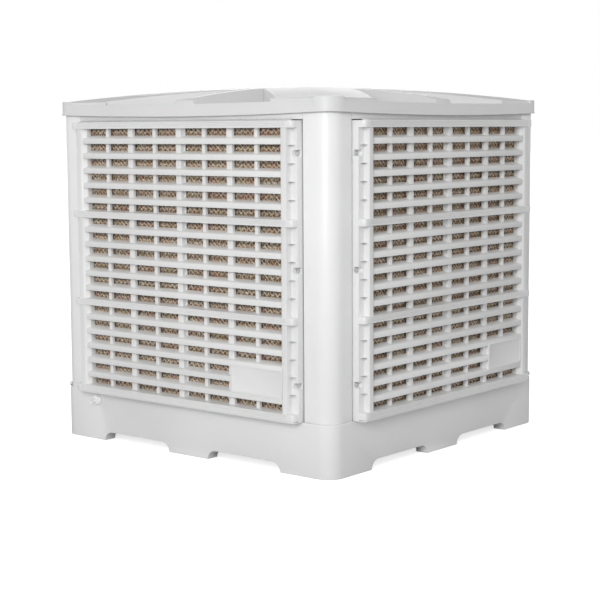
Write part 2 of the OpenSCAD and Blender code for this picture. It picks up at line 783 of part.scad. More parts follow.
module motor_body() {
    r = motor_d / 2;
    body = motor_h - 8;
    color("slategray") translate([0, 0, motor_z]) difference() {
        union() {
            linear_extrude(8) rounded_square(motor_foot / 2 + 8, 10);
            cylinder(r = r - 14, h = body);
            cylinder(r = r, h = 34);
            translate([0, 0, body - 40]) cylinder(r = r, h = 26);
            translate([0, 0, body - 14 - eps]) cylinder(r1 = r, r2 = r - 12, h = 12);
            // Cooling fins
            translate([0, 0, 20]) linear_extrude(body - 50) for (a = [0:10:350]) rotate(a)
                translate([r - 18, -1.5]) square([16, 3]);
            // Boss that carries the terminal box
            translate([0, -box_boss / 2, box_z - motor_z + 10]) cube([r - 2, box_boss, box_boss]);
        }
        translate([0, 0, -1]) cylinder(r = shaft_d / 2 + run, h = shaft_in + 3);
        for (x = [-1, 1], y = [-1, 1])
            translate([x * beam_gap / 2, y * motor_bolt_y, -1]) cylinder(d = bolt_d + 2 * seat, h = 10);
    }
}

module motor_screws() {
    color("silver") for (x = [-1, 1], y = [-1, 1])
        translate([x * beam_gap / 2, y * motor_bolt_y, motor_z - 3 - 6]) {
            cylinder(d = 13, h = 6, $fn = 6);
            cylinder(d = bolt_d, h = 6 + 3 + 8 + 7);
            translate([0, 0, 6 + 3 + 8]) cylinder(d = 13, h = 5.5, $fn = 6);
        }
}

module terminal_box() {
    color("dimgray") translate([box_x, 0, box_z]) difference() {
        union() {
            translate([0, -box_w / 2, 0]) cube([38, box_w, box_h]);
            translate([38, -box_w / 2 - 3, -3]) cube([8, box_w + 6, box_h + 6]);
        }
        translate([4, -box_w / 2 + 4, 4]) cube([37, box_w - 8, box_h - 8]);
        translate([19, box_w / 2 - 5, box_h / 2]) rotate([-90, 0, 0]) cylinder(d = 16 + 2 * seat, h = 10);
    }
}

module cable_gland() {
    color("black") translate([box_x + 19, box_w / 2, box_z + box_h / 2]) rotate([-90, 0, 0]) difference() {
        union() {
            translate([0, 0, -7]) cylinder(d = 16, h = 8);
            cylinder(d = 22, h = 8, $fn = 6);
            cylinder(d = 17, h = 18);
        }
        translate([0, 0, -8]) cylinder(d = 9, h = 30);
    }
}

module motor_shaft() {
    color("silver") translate([0, 0, hub_z - 22]) {
        cylinder(r = shaft_d / 2, h = motor_z - hub_z + 22 + shaft_in);
    }
}

module fan_hub() {
    color("dimgray") translate([0, 0, hub_z]) difference() {
        union() {
            cylinder(d = hub_d, h = hub_h);
            translate([0, 0, -6]) cylinder(d = shaft_d + 24, h = hub_h + 20);
        }
        translate([0, 0, hub_h - 18]) difference() {
            cylinder(d = hub_d - 10, h = 19);
            translate([0, 0, -1]) cylinder(d = shaft_d + 24, h = 30);
            for (a = [0:60:300]) rotate([0, 0, a]) translate([0, -2, -1]) cube([hub_d / 2, 4, 30]);
        }
        translate([0, 0, -10]) cylinder(r = shaft_d / 2 + 0.02, h = hub_h + 40);
    }
}

module fan_blades() {
    camber_r = chord * 1.25;
    tip_r = shroud_d / 2 - tip_gap;
    color("dimgray") translate([0, 0, hub_z + hub_h / 2]) for (k = [0:blades - 1]) rotate([0, 0, 360 / blades * k])
        intersection() {
            rotate([blade_pitch, 0, 0]) translate([hub_d / 2 - 2, 0, -camber_r]) rotate([90, 0, 90])
                linear_extrude(tip_r) intersection() {
                    difference() {
                        circle(camber_r, $fn = 180);
                        circle(camber_r - 4, $fn = 180);
                    }
                    translate([-chord / 2, 0]) square([chord, camber_r + 1]);
                }
            translate([0, 0, -60]) difference() {
                cylinder(r = tip_r, h = 120, $fn = 180);
                translate([0, 0, -1]) cylinder(d = hub_d, h = 122);
            }
        }
}

module fan_nut() {
    color("silver") translate([0, 0, hub_z - 6 - 12]) difference() {
        cylinder(d = shaft_d * 1.75, h = 12, $fn = 6);
        translate([0, 0, -1]) cylinder(r = shaft_d / 2 + 0.02, h = 14);
    }
}

// ---- Water supply ----

module pump_strainer() {
    r = strainer_r;
    color("dimgray") translate([riser_at, -riser_at, floor_top]) difference() {
        cylinder(r = r, h = pump_z - floor_top);
        translate([0, 0, 3]) cylinder(r = r - 3, h = pump_z - floor_top - 6);
        for (a = [0:20:160]) rotate([0, 0, a]) translate([-r - 1, -3, 8]) cube([2 * r + 2, 6, 20]);
    }
}

module pump_body() {
    color("royalblue") translate([riser_at, -riser_at, pump_z]) {
        cylinder(d = pump_d, h = pump_h - 12);
        translate([0, 0, pump_h - 12]) cylinder(d1 = pump_d, d2 = pump_d - 24, h = 12);
        cylinder(d = pipe_d + 8, h = pump_h + 6);
    }
}

module inlet_fitting() {
    color("white") translate([-inlet_x, -half - 12 - inlet_len, inlet_z]) rotate([-90, 0, 0]) difference() {
        union() {
            cylinder(d = inlet_d, h = inlet_len + 1);
            translate([0, 0, inlet_len]) cylinder(d = inlet_d + 4, h = 12 + tank_wall + 14);
        }
        translate([0, 0, -1]) cylinder(d = inlet_d - 5, h = inlet_len + 12 + tank_wall + 16);
    }
}

module inlet_nut() {
    color("white") translate([-inlet_x, -half, inlet_z]) rotate([90, 0, 0]) difference() {
        union() {
            cylinder(d = inlet_d + 18, h = 3);
            cylinder(d = inlet_d + 14, h = 11, $fn = 8);
        }
        translate([0, 0, -1]) cylinder(d = inlet_d + 4 + 2 * run, h = 14);
    }
}

module float_valve() {
    y0 = -half + tank_wall;
    color("white") difference() {
        union() {
            // Body around the inner end of the inlet
            translate([-inlet_x - valve_w / 2, y0, inlet_z - 18]) cube([valve_w, 34, 36]);
            translate([-inlet_x - 8, y0 + 30, inlet_z - 22]) cube([16, pin_y - y0 - 30 + 10, 12]);
            // Fork for the arm's pin
            for (y = [-9, 5]) translate([-inlet_x - 8, pin_y + y, pin_z - 7])
                cube([pin_x + inlet_x + 16, 4, 14]);
        }
        translate([-inlet_x, y0 - 1, inlet_z]) rotate([-90, 0, 0]) cylinder(d = inlet_d + 4 + 2 * seat, h = 16);
        translate([pin_x, pin_y - 20, pin_z]) rotate([-90, 0, 0]) cylinder(d = pin_d + 2 * run, h = 40);
    }
}

module float_pin() {
    color("silver") translate([pin_x, pin_y - 10, pin_z]) rotate([-90, 0, 0]) cylinder(d = pin_d, h = 20);
}

module float_arm() {
    color("goldenrod") translate([pin_x, pin_y, pin_z]) rotate([0, float_drop, 0]) difference() {
        union() {
            rotate([90, 0, 0]) cylinder(d = 12, h = 8, center = true);
            translate([0, -2.5, -2.5]) cube([float_len - float_d / 2 + 1, 5, 5]);
        }
        rotate([90, 0, 0]) cylinder(d = pin_d + 2 * run, h = 20, center = true);
    }
}

module float_ball() {
    color("white") translate([pin_x, pin_y, pin_z]) rotate([0, float_drop, 0])
        translate([float_len, 0, 0]) difference() {
            sphere(d = float_d, $fn = 64);
            rotate([0, -90, 0]) translate([-2.7, -2.7, float_d / 2 - 10]) cube([5.4, 5.4, 20]);
        }
}

module drain_bush() {
    color("white") translate([-overflow_at, overflow_at, 0]) difference() {
        union() {
            translate([0, 0, floor_z - 10]) cylinder(d = bush_d, h = floor_top - floor_z + 10);
            translate([0, 0, floor_z - 10 - bush_tail]) cylinder(d = bush_d - 2, h = bush_tail + 1);
            translate([0, 0, floor_top]) cylinder(d = bush_d + 18, h = 5);
        }
        translate([0, 0, floor_z - 11 - bush_tail]) cylinder(d = bush_d - 8, h = floor_top);
    }
}

module drain_nut() {
    color("white") translate([-overflow_at, overflow_at, floor_z - 8]) difference() {
        cylinder(d = bush_d + 18, h = 8, $fn = 8);
        translate([0, 0, -1]) cylinder(d = bush_d + 2 * run, h = 10);
    }
}

module overflow_standpipe() {
    seat_z = floor_top + 5;
    color("white") translate([-overflow_at, overflow_at, 0]) difference() {
        union() {
            translate([0, 0, seat_z - 16]) cylinder(d = bush_d - 8 - 2 * run, h = 17);
            translate([0, 0, seat_z]) cylinder(d = overflow_d, h = overflow_h);
        }
        translate([0, 0, seat_z - 17]) cylinder(d = bush_d - 14, h = overflow_h + 20);
        for (a = [0, 90]) rotate([0, 0, a]) translate([-overflow_d, -4, seat_z + overflow_h - 12])
            cube([2 * overflow_d, 8, 13]);
    }
}

// ---- Louvre panels ----

// Section of a side rail, drawn as (distance from the middle, distance out)
module rail_section() {
    foot = -(post_inset + rebate) + seat;
    w = panel_wall;
    polygon([
        [panel_half, foot], [panel_half, step_out], [step_in, step_out], [step_in, rim_out],
        [rim_in, rim_out], [grid_half, rib_out], [grid_half, pad_out + seat],
        [grid_half + w, pad_out + seat], [grid_half + w, rib_out - w / 2], [rim_in + w / 2, rim_out - w],
        [step_in - w, rim_out - w], [step_in - w, step_out - w], [panel_half - w, step_out - w],
        [panel_half - w, foot],
    ]);
}

// Section of a heavy bar, drawn as (distance out, height)
module bar_section() {
    w = panel_wall;
    back = pad_out + seat + 2;
    lip = row_pitch - slot_h - bar_h;
    groove = 0.9;
    difference() {
        polygon([
            [bar_out - 1, 0], [bar_out, 1], [bar_out, bar_h - 1], [bar_out - 1, bar_h],
            [back, bar_h + lip], [back, bar_h + lip - w], [bar_out - w, bar_h - w],
            [bar_out - w, w], [back, w], [back, 0],
        ]);
        for (z = [bar_h * 0.3, bar_h * 0.55, bar_h * 0.8])
            translate([bar_out - groove / 2, z]) square([groove, groove]);
    }
}

// Section of a blade with an upright face and a sloping back, drawn as (distance out, height)
module blade_section() {
    back = pad_out + seat + 2;
    h = row_pitch - slot_h;
    w = panel_wall;
    polygon([
        [blade_out, 0], [blade_out, blade_face], [back + w / 2, h], [back, h],
        [back, h - w], [blade_out - w, blade_face - w / 2], [blade_out - w, 0],
    ]);
}

// Extrudes a section across the panel, with its outward side towards -Y
module across(half_w) {
    translate([-half_w, -half, 0]) rotate([90, 0, 90]) linear_extrude(2 * half_w) mirror([1, 0]) children();
}

// Outline of a panel seen from above, with its front corners bent back
module panel_plan(out) {
    bend = 9;
    for (m = [0, 1]) mirror([m, 0]) polygon([
        [-eps, panel_foot], [panel_half, panel_foot], [panel_half, out - bend],
        [panel_half - bend * 0.35, out - bend * 0.35], [panel_half - bend, out], [-eps, out],
    ]);
}

// An upright rib, with the lug that closes the gap to the trough
module rib(x, width, depth) {
    translate([x - width / 2, -half - rib_out, bar_z + 1]) cube([width, depth, panel_top - bar_z - 2]);
    translate([x - width / 2, -half - 4, panel_top - eps]) cube([width, 8, lug_h + eps]);
}

// The middle rib, which reaches back to the pad and has a rear flange
module middle_rib() {
    back = pad_out + seat;
    rib(0, broad_rib_w, rib_out - back);
    translate([-broad_rib_w / 2 - rib_flange, -half - back - 4, bar_z + 1])
        cube([broad_rib_w + 2 * rib_flange, 4, panel_top - bar_z - 2]);
}

// Blank plate over two rows of slots at the lower right, with edges bent back to the ribs
module blank_plate() {
    edge_w = 5;
    y = -half - blade_out - 1.5;
    depth = blade_out + 1.5 - rib_out + 3;
    difference() {
        translate([plate_x, y, plate_z]) cube([plate_w, depth, plate_h]);
        translate([plate_x + panel_wall, y + panel_wall, plate_z - 1])
            cube([plate_w, depth, plate_h - panel_wall + 1]);
        translate([plate_x + edge_w, y - 1, plate_z + edge_w])
            cube([plate_w - 2 * edge_w, 1.6, plate_h - 2 * edge_w]);
    }
}

module panel() {
    w = panel_wall;
    block = pocket_d + 4;
    color(plastic) difference() {
        union() {
            // Side rails
            for (m = [0, 1]) mirror([m, 0, 0]) translate([0, -half, panel_z])
                linear_extrude(panel_top - panel_z) mirror([0, 1]) rail_section();
            // Heavy bars, with their ends bent back to the rails
            for (k = [0:sections]) translate([0, 0, bar_z + k * section_h]) {
                across(step_in - w / 2) bar_section();
                translate([0, -half, 0]) linear_extrude(bar_h) mirror([0, 1]) difference() {
                    panel_plan(bar_out);
                    translate([-step_in + w, -half]) square([2 * (step_in - w), 2 * half]);
                    translate([-half, step_out - w - half]) square([2 * half, half]);
                }
            }
            // Plates along the bottom and top edges, and the lip under the lowest bar
            for (z = [panel_z, panel_top - w]) translate([0, -half, z])
                linear_extrude(w) mirror([0, 1]) panel_plan(bar_out - 1);
            translate([0, -half, panel_z]) linear_extrude(bar_z - panel_z + w) mirror([0, 1]) difference() {
                panel_plan(bar_out - 1);
                translate([-half, bar_out - 1 - w - half]) square([2 * half, half]);
            }
            // Blades
            for (s = [0:sections - 1], k = [1:rows - 1])
                translate([0, 0, bar_z + (s + 1) * section_h - k * row_pitch])
                    across(blade_half) blade_section();
            // Upright ribs
            middle_rib();
            for (m = [0, 1]) mirror([m, 0, 0]) {
                for (x = narrow_ribs) rib(x, rib_w, rib_depth);
                rib(broad_rib_at, broad_rib_w, rib_depth);
            }
            // Pairs of gussets on the step
            for (m = [0, 1], s = [0:sections - 1], k = [1:4], pair = [0, gusset_gap + 1.2]) mirror([m, 0, 0])
                translate([0, -half, bar_z + bar_h + s * section_h + k * (section_h - bar_h) / 5 + pair])
                    linear_extrude(1.2) mirror([0, 1]) polygon([
                        [step_in - w / 2, step_out - w / 2], [step_in - w / 2, rim_out - 6],
                        [panel_half - 4, step_out - w / 2],
                    ]);
            blank_plate();
            // Blocks for the screw pockets
            for (p = panel_screws_at) translate([p[0], -half - panel_foot, p[1]]) rotate([90, 0, 0])
                linear_extrude(step_out - panel_foot)
                    translate([p[0] > 0 ? -block / 2 : -pocket_edge, -block / 2])
                        square([block / 2 + pocket_edge, block]);
        }
        // Round pockets for the screws, open towards the post
        for (p = panel_screws_at) translate([p[0], -half, p[1]]) rotate([90, 0, 0]) {
            cylinder(d = pocket_d, h = 40);
            translate([p[0] > 0 ? 0 : -pocket_d, -pocket_d / 2, 0]) cube([pocket_d, pocket_d, 40]);
            translate([0, 0, panel_foot - 1]) cylinder(d = screw_d + 2 * seat, h = 40);
        }
    }
}

module panel_screws() {
    reach = post_inset + rebate + post_wall + 8;
    color("silver") for (p = panel_screws_at) translate([p[0], -half, p[1]]) rotate([90, 0, 0]) difference() {
        union() {
            cylinder(d = 11, h = 4);
            translate([0, 0, -reach]) cylinder(d = screw_d, h = reach + 1);
        }
        for (a = [0, 90]) rotate([0, 0, a]) translate([-4, -0.6, 2.5]) cube([8, 1.2, 3]);
    }
}

// ---- Cooling pads ----

module pad() {
    color("peru") translate([-pad_half, -half - pad_out, pad_z]) cube([2 * pad_half, pad_t, pad_top - pad_z]);
}

// Tray under a pad, with the straps behind it
module pad_tray() {
    back = -half - pad_out + pad_t + seat;
    strap_pitch = (2 * pad_half - strap_w) / 8;
    color("gray") {
        translate([-pad_half, -half - pad_out, tray_z])
            cube([2 * pad_half, pad_t + seat + strap_t, strap_t]);
        for (k = [0:8]) translate([-pad_half + k * strap_pitch, back, tray_z])
            cube([strap_w, strap_t, pad_top - tray_z]);
        translate([-pad_half, back, pad_top - strap_w]) cube([2 * pad_half, strap_t, strap_w]);
    }
}

// ---- Assembly ----

tank();
outlet_duct();
duct_gasket();
duct_screws();
post(false);  // post_front_right
rotate([0, 0, 90]) post(true);  // post_rear_right
rotate([0, 0, 180]) post(true);  // post_rear_left
rotate([0, 0, 270]) post(true);  // post_front_left
post_screws();
seam_screws();
trough();  // trough_front
rotate([0, 0, 90]) trough();  // trough_right
rotate([0, 0, 180]) trough();  // trough_rear
rotate([0, 0, 270]) trough();  // trough_left
header_pipes();
header_elbows();
riser_pipe();
top_cover();
cover_screws();
fan_shroud();
shroud_screws();
beam_legs();
beam_bolts();
motor_beams();
motor_body();
motor_screws();
terminal_box();
cable_gland();
motor_shaft();
fan_hub();
fan_blades();
fan_nut();
pump_strainer();
pump_body();
inlet_fitting();
inlet_nut();
float_valve();
float_pin();
float_arm();
float_ball();
drain_bush();
drain_nut();
overflow_standpipe();
panel();  // panel_front
rotate([0, 0, 90]) panel();  // panel_right
rotate([0, 0, 180]) panel();  // panel_rear
rotate([0, 0, 270]) panel();  // panel_left
pad();  // pad_front
rotate([0, 0, 90]) pad();  // pad_right
rotate([0, 0, 180]) pad();  // pad_rear
rotate([0, 0, 270]) pad();  // pad_left
pad_tray();  // pad_tray_front
rotate([0, 0, 90]) pad_tray();  // pad_tray_right
rotate([0, 0, 180]) pad_tray();  // pad_tray_rear
rotate([0, 0, 270]) pad_tray();  // pad_tray_left
panel_screws();  // panel_screws_front
rotate([0, 0, 90]) panel_screws();  // panel_screws_right
rotate([0, 0, 180]) panel_screws();  // panel_screws_rear
rotate([0, 0, 270]) panel_screws();  // panel_screws_left
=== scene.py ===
"""Looks of the down-discharge evaporative cooler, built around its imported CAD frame."""

import json
import math
import random

import bmesh
import bpy
from mathutils import Matrix, Vector
from mathutils.bvhtree import BVHTree


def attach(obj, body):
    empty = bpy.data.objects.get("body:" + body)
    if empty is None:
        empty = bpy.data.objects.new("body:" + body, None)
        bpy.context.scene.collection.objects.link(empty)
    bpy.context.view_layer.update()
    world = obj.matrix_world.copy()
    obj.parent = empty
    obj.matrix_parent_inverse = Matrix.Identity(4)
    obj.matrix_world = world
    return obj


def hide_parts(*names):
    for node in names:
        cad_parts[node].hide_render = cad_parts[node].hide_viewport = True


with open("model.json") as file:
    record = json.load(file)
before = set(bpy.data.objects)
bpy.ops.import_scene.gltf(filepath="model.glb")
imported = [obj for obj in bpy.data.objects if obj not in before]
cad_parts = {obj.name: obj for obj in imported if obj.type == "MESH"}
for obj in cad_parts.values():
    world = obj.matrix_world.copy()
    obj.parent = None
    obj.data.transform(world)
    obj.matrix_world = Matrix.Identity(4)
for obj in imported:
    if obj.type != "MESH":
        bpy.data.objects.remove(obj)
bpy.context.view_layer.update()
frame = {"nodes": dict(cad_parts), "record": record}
random.seed(7)

MM = 0.001
NODES = frame["nodes"]
SLOT_OF = {s["node"]: s["material_slot"] for s in frame["record"]["subparts"]}
BODY_OF = {n: b for b, members in frame["record"]["behaviour"]["bodies"].items() for n in members}
SIDES = ("front", "right", "rear", "left")

BLACK = (0.0, 0.0, 0.0)
WHITE = (1.0, 1.0, 1.0)


# ---------------------------------------------------------------- shader helpers

class Tree:
    """Small helper around one node tree."""

    def __init__(self, tree):
        self.tree = tree

    def node(self, kind, **sockets):
        """A new node with some of its inputs set."""
        node = self.tree.nodes.new("ShaderNode" + kind)
        for key, value in sockets.items():
            node.inputs[key.replace("_", " ")].default_value = value
        return node

    def link(self, a, b):
        self.tree.links.new(a, b)

    def by_ray(self, bounced, seen):
        """One shader for the light that bounces, another for what the camera sees."""
        path = self.node("LightPath")
        pick = self.node("MixShader")
        self.link(path.outputs["Is Camera Ray"], pick.inputs["Fac"])
        self.link(bounced.outputs[0], pick.inputs[1])
        self.link(seen.outputs[0], pick.inputs[2])
        return pick.outputs[0]


class Shader(Tree):
    """One material: its textures are placed in the piece's own metres."""

    # The Mix node's sockets for colours
    MIX_FACTOR, MIX_A, MIX_B = 0, 6, 7
    MIX_RESULT = 2

    def __init__(self, name, colour, rough, **sockets):
        self.mat = bpy.data.materials.new(name)
        self.mat.use_nodes = True
        super().__init__(self.mat.node_tree)
        self.bsdf = self.tree.nodes["Principled BSDF"]
        self.bsdf.inputs["Base Color"].default_value = (*colour, 1)
        self.bsdf.inputs["Roughness"].default_value = rough
        for key, value in sockets.items():
            self.bsdf.inputs[key.replace("_", " ")].default_value = value
        self.place = self.node("TexCoord").outputs["Object"]

    def noise(self, scale, detail=3.0, stretch=WHITE, rough=0.55):
        mapping = self.node("Mapping", Scale=stretch)
        self.link(self.place, mapping.inputs["Vector"])
        noise = self.node("TexNoise", Scale=scale, Detail=detail, Roughness=rough)
        self.link(mapping.outputs["Vector"], noise.inputs["Vector"])
        return noise.outputs["Fac"]

    def crystals(self, scale):
        """A random tone for each cell, as on hot-dip zinc."""
        cells = self.node("TexVoronoi", Scale=scale)
        self.link(self.place, cells.inputs["Vector"])
        return cells.outputs["Color"]

    def bands(self, scale):
        wave = self.node("TexWave", Scale=scale, Distortion=0.6)
        wave.bands_direction = "DIAGONAL"
        self.link(self.place, wave.inputs["Vector"])
        return wave.outputs["Fac"]

    def painted_shade(self, dark, reach_mm):
        """Painted shade in seams and tight corners, darker where ambient occlusion finds nearby surfaces,
        as a colour to multiply with.
        """
        seams = self.node("AmbientOcclusion", Distance=reach_mm * MM)
        seams.samples = 8
        return self.ramp(seams.outputs["AO"], (0.25, (dark, dark, dark)), (0.62, WHITE))

    def ramp(self, value, *stops):
        node = self.node("ValToRGB")
        marks = node.color_ramp.elements
        while len(marks) < len(stops):
            marks.new(0.5)
        for mark, (at, colour) in zip(marks, stops):
            mark.position = at
            mark.color = (*colour, 1)
        self.link(value, node.inputs["Fac"])
        return node.outputs["Color"]

    def span(self, value, low, high):
        node = self.node("MapRange", To_Min=low, To_Max=high)
        self.link(value, node.inputs["Value"])
        return node.outputs["Result"]

    def mix(self, factor, a, b, how="MIX"):
        node = self.node("Mix")
        node.data_type = "RGBA"
        node.blend_type = how
        for value, key in ((factor, self.MIX_FACTOR), (a, self.MIX_A), (b, self.MIX_B)):
            if isinstance(value, float):
                node.inputs[key].default_value = value
            elif isinstance(value, tuple):
                node.inputs[key].default_value = (*value, 1)
            else:
                self.link(value, node.inputs[key])
        return node.outputs[self.MIX_RESULT]

    def multiply(self, a, b):
        return self.mix(1.0, a, b, "MULTIPLY")

    def colour(self, value):
        self.link(value, self.bsdf.inputs["Base Color"])

    def rough(self, value):
        self.link(value, self.bsdf.inputs["Roughness"])

    def bump(self, value, depth_mm, after=None):
        node = self.node("Bump", Strength=1.0, Distance=depth_mm * MM)
        self.link(value, node.inputs["Height"])
        if after:
            self.link(after, node.inputs["Normal"])
        self.link(node.outputs["Normal"], self.bsdf.inputs["Normal"])
        return node.outputs["Normal"]


def tinted(colour, factor):
    """A colour made darker or lighter."""
    return tuple(min(1.0, c * factor) for c in colour)


# ---------------------------------------------------------------- materials

def moulded(name, base, rough=0.42, grain_mm=0.05, waves_mm=0.4):
    """Injection-moulded plastic: faint clouds, a fine grain, slow waves and painted shade in the seams."""
    spread = 0.03
    s = Shader(name, base, rough)
    clouds = s.ramp(s.noise(3.0, 4.0), (0.3, tinted(base, 1 - spread)), (0.7, tinted(base, 1 + spread)))
    # Painted shade: ambient occlusion darkens the colour in seams and tight corners.
    s.colour(s.multiply(clouds, s.painted_shade(0.55, 5.0)))
    s.rough(s.span(s.noise(40.0, 3.0), rough - 0.05, rough + 0.07))
    waves = s.bump(s.noise(6.0, 2.0), waves_mm)
    s.bump(s.noise(1400.0, 2.0), grain_mm, waves)
    return s.mat


def metal(name, base, rough):
    """Drawn or cast metal with faint stains."""
    s = Shader(name, base, rough, Metallic=1.0)
    stains = s.noise(60.0, 3.0)
    s.colour(s.ramp(stains, (0.3, tinted(base, 0.85)), (0.7, base)))
    s.rough(s.span(stains, rough - 0.06, rough + 0.1))
    s.bump(s.noise(500.0, 2.0), 0.03)
    return s.mat


def zinc_sheet(name, base, rough):
    """Hot-dip galvanised sheet with its spangle."""
    s = Shader(name, base, rough, Metallic=1.0)
    spangle = s.crystals(55.0)
    s.colour(s.ramp(spangle, (0.2, tinted(base, 0.8)), (0.8, base)))
    s.rough(s.span(spangle, rough - 0.1, rough + 0.12))
    s.bump(s.noise(500.0, 2.0), 0.03)
    return s.mat


def pad_paper():
    """Coated cellulose: brown paper with reddish and greenish patches, and slanting flutes."""
    s = Shader("pad_paper", (0.25, 0.14, 0.06), 0.85)
    fibres = s.noise(170.0, 3.0, rough=0.75)
    paper = s.ramp(fibres, (0.34, (0.40, 0.27, 0.17)), (0.48, (0.84, 0.64, 0.45)),
                   (0.60, (1.0, 0.92, 0.78)))
    red = s.ramp(s.noise(26.0, 2.0), (0.50, BLACK), (0.64, WHITE))
    green = s.ramp(s.noise(15.0, 2.0, stretch=(1.3, 1.3, 1.0)), (0.52, BLACK), (0.70, WHITE))
    tone = s.mix(red, paper, s.mix(0.45, paper, (0.70, 0.32, 0.22)))
    tone = s.mix(green, tone, s.mix(0.35, tone, (0.52, 0.48, 0.20)))
    # Painted shade: ambient occlusion darkens the paper deep in its cells and in corners.
    tone = s.multiply(tone, s.painted_shade(0.35, 12.0))
    flutes = s.bands(45.0)
    s.colour(s.multiply(tone, s.ramp(flutes, (0.0, (0.62, 0.60, 0.56)), (0.45, WHITE))))
    s.bump(s.noise(900.0, 3.0), 0.25, s.bump(flutes, 1.5))
    return s.mat


MATERIAL = {
    "tank_plastic": moulded("tank_plastic", (0.80, 0.805, 0.80), rough=0.5),
    "post_plastic": moulded("post_plastic", (0.87, 0.875, 0.87), rough=0.34, grain_mm=0.02, waves_mm=0.2),
    "panel_plastic": moulded("panel_plastic", (0.79, 0.795, 0.79), rough=0.40, waves_mm=0.2),
    "cover_plastic": moulded("cover_plastic", (0.73, 0.735, 0.73)),
    "trough_plastic": moulded("trough_plastic", (0.80, 0.805, 0.80), rough=0.5),
    "tray_plastic": moulded("tray_plastic", (0.20, 0.20, 0.20), rough=0.6),
    "pipe_plastic": moulded("pipe_plastic", (0.70, 0.70, 0.69), rough=0.4),
    "hose_plastic": moulded("hose_plastic", (0.05, 0.052, 0.055), rough=0.55, grain_mm=0.1),
    "dark_plastic": moulded("dark_plastic", (0.035, 0.037, 0.04), rough=0.5, grain_mm=0.1),
    "black_plastic": moulded("black_plastic", (0.02, 0.02, 0.02), rough=0.5),
    "black_rubber": moulded("black_rubber", (0.018, 0.018, 0.018), rough=0.75, grain_mm=0.2),
    "white_plastic": moulded("white_plastic", (0.93, 0.93, 0.925), rough=0.3, grain_mm=0.02),
    "pump_paint": moulded("pump_paint", (0.02, 0.06, 0.20), rough=0.4),
    "motor_paint": moulded("motor_paint", (0.06, 0.085, 0.12), rough=0.38, grain_mm=0.12),
    "zinc_steel": zinc_sheet("zinc_steel", (0.52, 0.54, 0.56), 0.38),
    "bright_steel": metal("bright_steel", (0.74, 0.74, 0.75), 0.42),
    "brass": metal("brass", (0.62, 0.45, 0.18), 0.3),
    "pad_paper": pad_paper(),
}


# ---------------------------------------------------------------- pieces

# Metres within which vertices are the same, and the angles that tell edges apart
WELD = 2e-6
FLAT = math.radians(0.4)
SHARP = math.radians(28)
SMOOTH = math.radians(32)

# Roundings in millimetres: the usual ones, then those of the nodes that differ
ROUNDING = 0.8
SCREW_ROUNDING = 0.4
PANEL_ROUNDING = 0.45
EDGE = {
    "tank": 0.9, "outlet_duct": 0.5, "top_cover": 0.7, "fan_shroud": 0.6,
    "terminal_box": 1.5, "fan_hub": 1.2, "pump_body": 2.0, "float_ball": 0.6,
    "float_valve": 1.0, "inlet_fitting": 0.6, "cable_gland": 0.25,
    "motor_beams": 1.0, "riser_pipe": 0.5,
}


def finish_piece(name, mesh, body, slot, nodes):
    """Makes a piece of a mesh: its material, the body it rides on and the nodes it stands for."""
    obj = bpy.data.objects.new(name, mesh)
    bpy.context.scene.collection.objects.link(obj)
    mesh.materials.clear()
    mesh.materials.append(MATERIAL[slot])
    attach(obj, body)
    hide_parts(*nodes)
    return obj


def box_of(verts):
    """The two corners of the box around some vertices."""
    spots = [v.co for v in verts]
    return (Vector([min(p[a] for p in spots) for a in range(3)]),
            Vector([max(p[a] for p in spots) for a in range(3)]))


def weld(bm):
    """Joins the triangles of the CAD mesh into its flat faces."""
    bmesh.ops.remove_doubles(bm, verts=bm.verts, dist=WELD)
    bmesh.ops.dissolve_limit(bm, angle_limit=FLAT, verts=bm.verts, edges=bm.edges)


def soften(bm, width):
    """Rounds every sharp edge and shades the mesh smooth between them."""
    stray = 0.45 * width
    weld(bm)
    sharp = [e for e in bm.edges if len(e.link_faces) == 2 and e.calc_face_angle(0.0) > SHARP]
    skin = BVHTree.FromBMesh(bm)
    bmesh.ops.bevel(bm, geom=sharp, offset=width, segments=2, profile=0.5, affect="EDGES",
                    clamp_overlap=False)
    # Corners where the rounding ran away go back to the surface they came from
    for v in bm.verts:
        near, _, _, far = skin.find_nearest(v.co)
        if near is not None and far > stray:
            v.co = near
    bmesh.ops.triangulate(bm, faces=[f for f in bm.faces if len(f.verts) > 4])
    for f in bm.faces:
        f.smooth = True
    for e in bm.edges:
        e.smooth = len(e.link_faces) == 2 and e.calc_face_angle(0.0) < SMOOTH


def sink_plate(bm):
    """Sinks the field of the panel's bare plate, its largest front face, a little below its rim."""
    drop = 1.3 * MM
    rim = 2.0 * MM
    draft = 0.4 * MM
    weld(bm)
    plate = max((f for f in bm.faces if f.normal.y < -0.99 and len(f.verts) == 4),
                key=lambda f: f.calc_area())
    lo, hi = box_of(plate.verts)
    lo += Vector((rim, 0, rim))
    hi -= Vector((rim, 0, rim))
    field = [plate]
    for at, axis in ((lo, (1, 0, 0)), (hi, (1, 0, 0)), (lo, (0, 0, 1)), (hi, (0, 0, 1))):
        parts = field + [e for f in field for e in f.edges] + [v for f in field for v in f.verts]
        cut = bmesh.ops.bisect_plane(bm, geom=list(set(parts)), plane_co=at, plane_no=axis)
        field = [f for f in cut["geom"] if isinstance(f, bmesh.types.BMFace)]
    middle = (lo + hi) / 2
    field = min(field, key=lambda f: (f.calc_center_median() - middle).length)
    bmesh.ops.inset_individual(bm, faces=[field], thickness=draft, depth=-drop)


def dressed(node, width_mm, before=None):
    """A copy of a CAD node with rounded edges, which takes the node's place."""
    bm = bmesh.new()
    bm.from_mesh(NODES[node].data)
    if before:
        before(bm)
    soften(bm, width_mm * MM)
    mesh = bpy.data.meshes.new(node + "_body")
    bm.to_mesh(mesh)
    bm.free()
    return finish_piece(node + "_body", mesh, BODY_OF[node], SLOT_OF[node], [node])


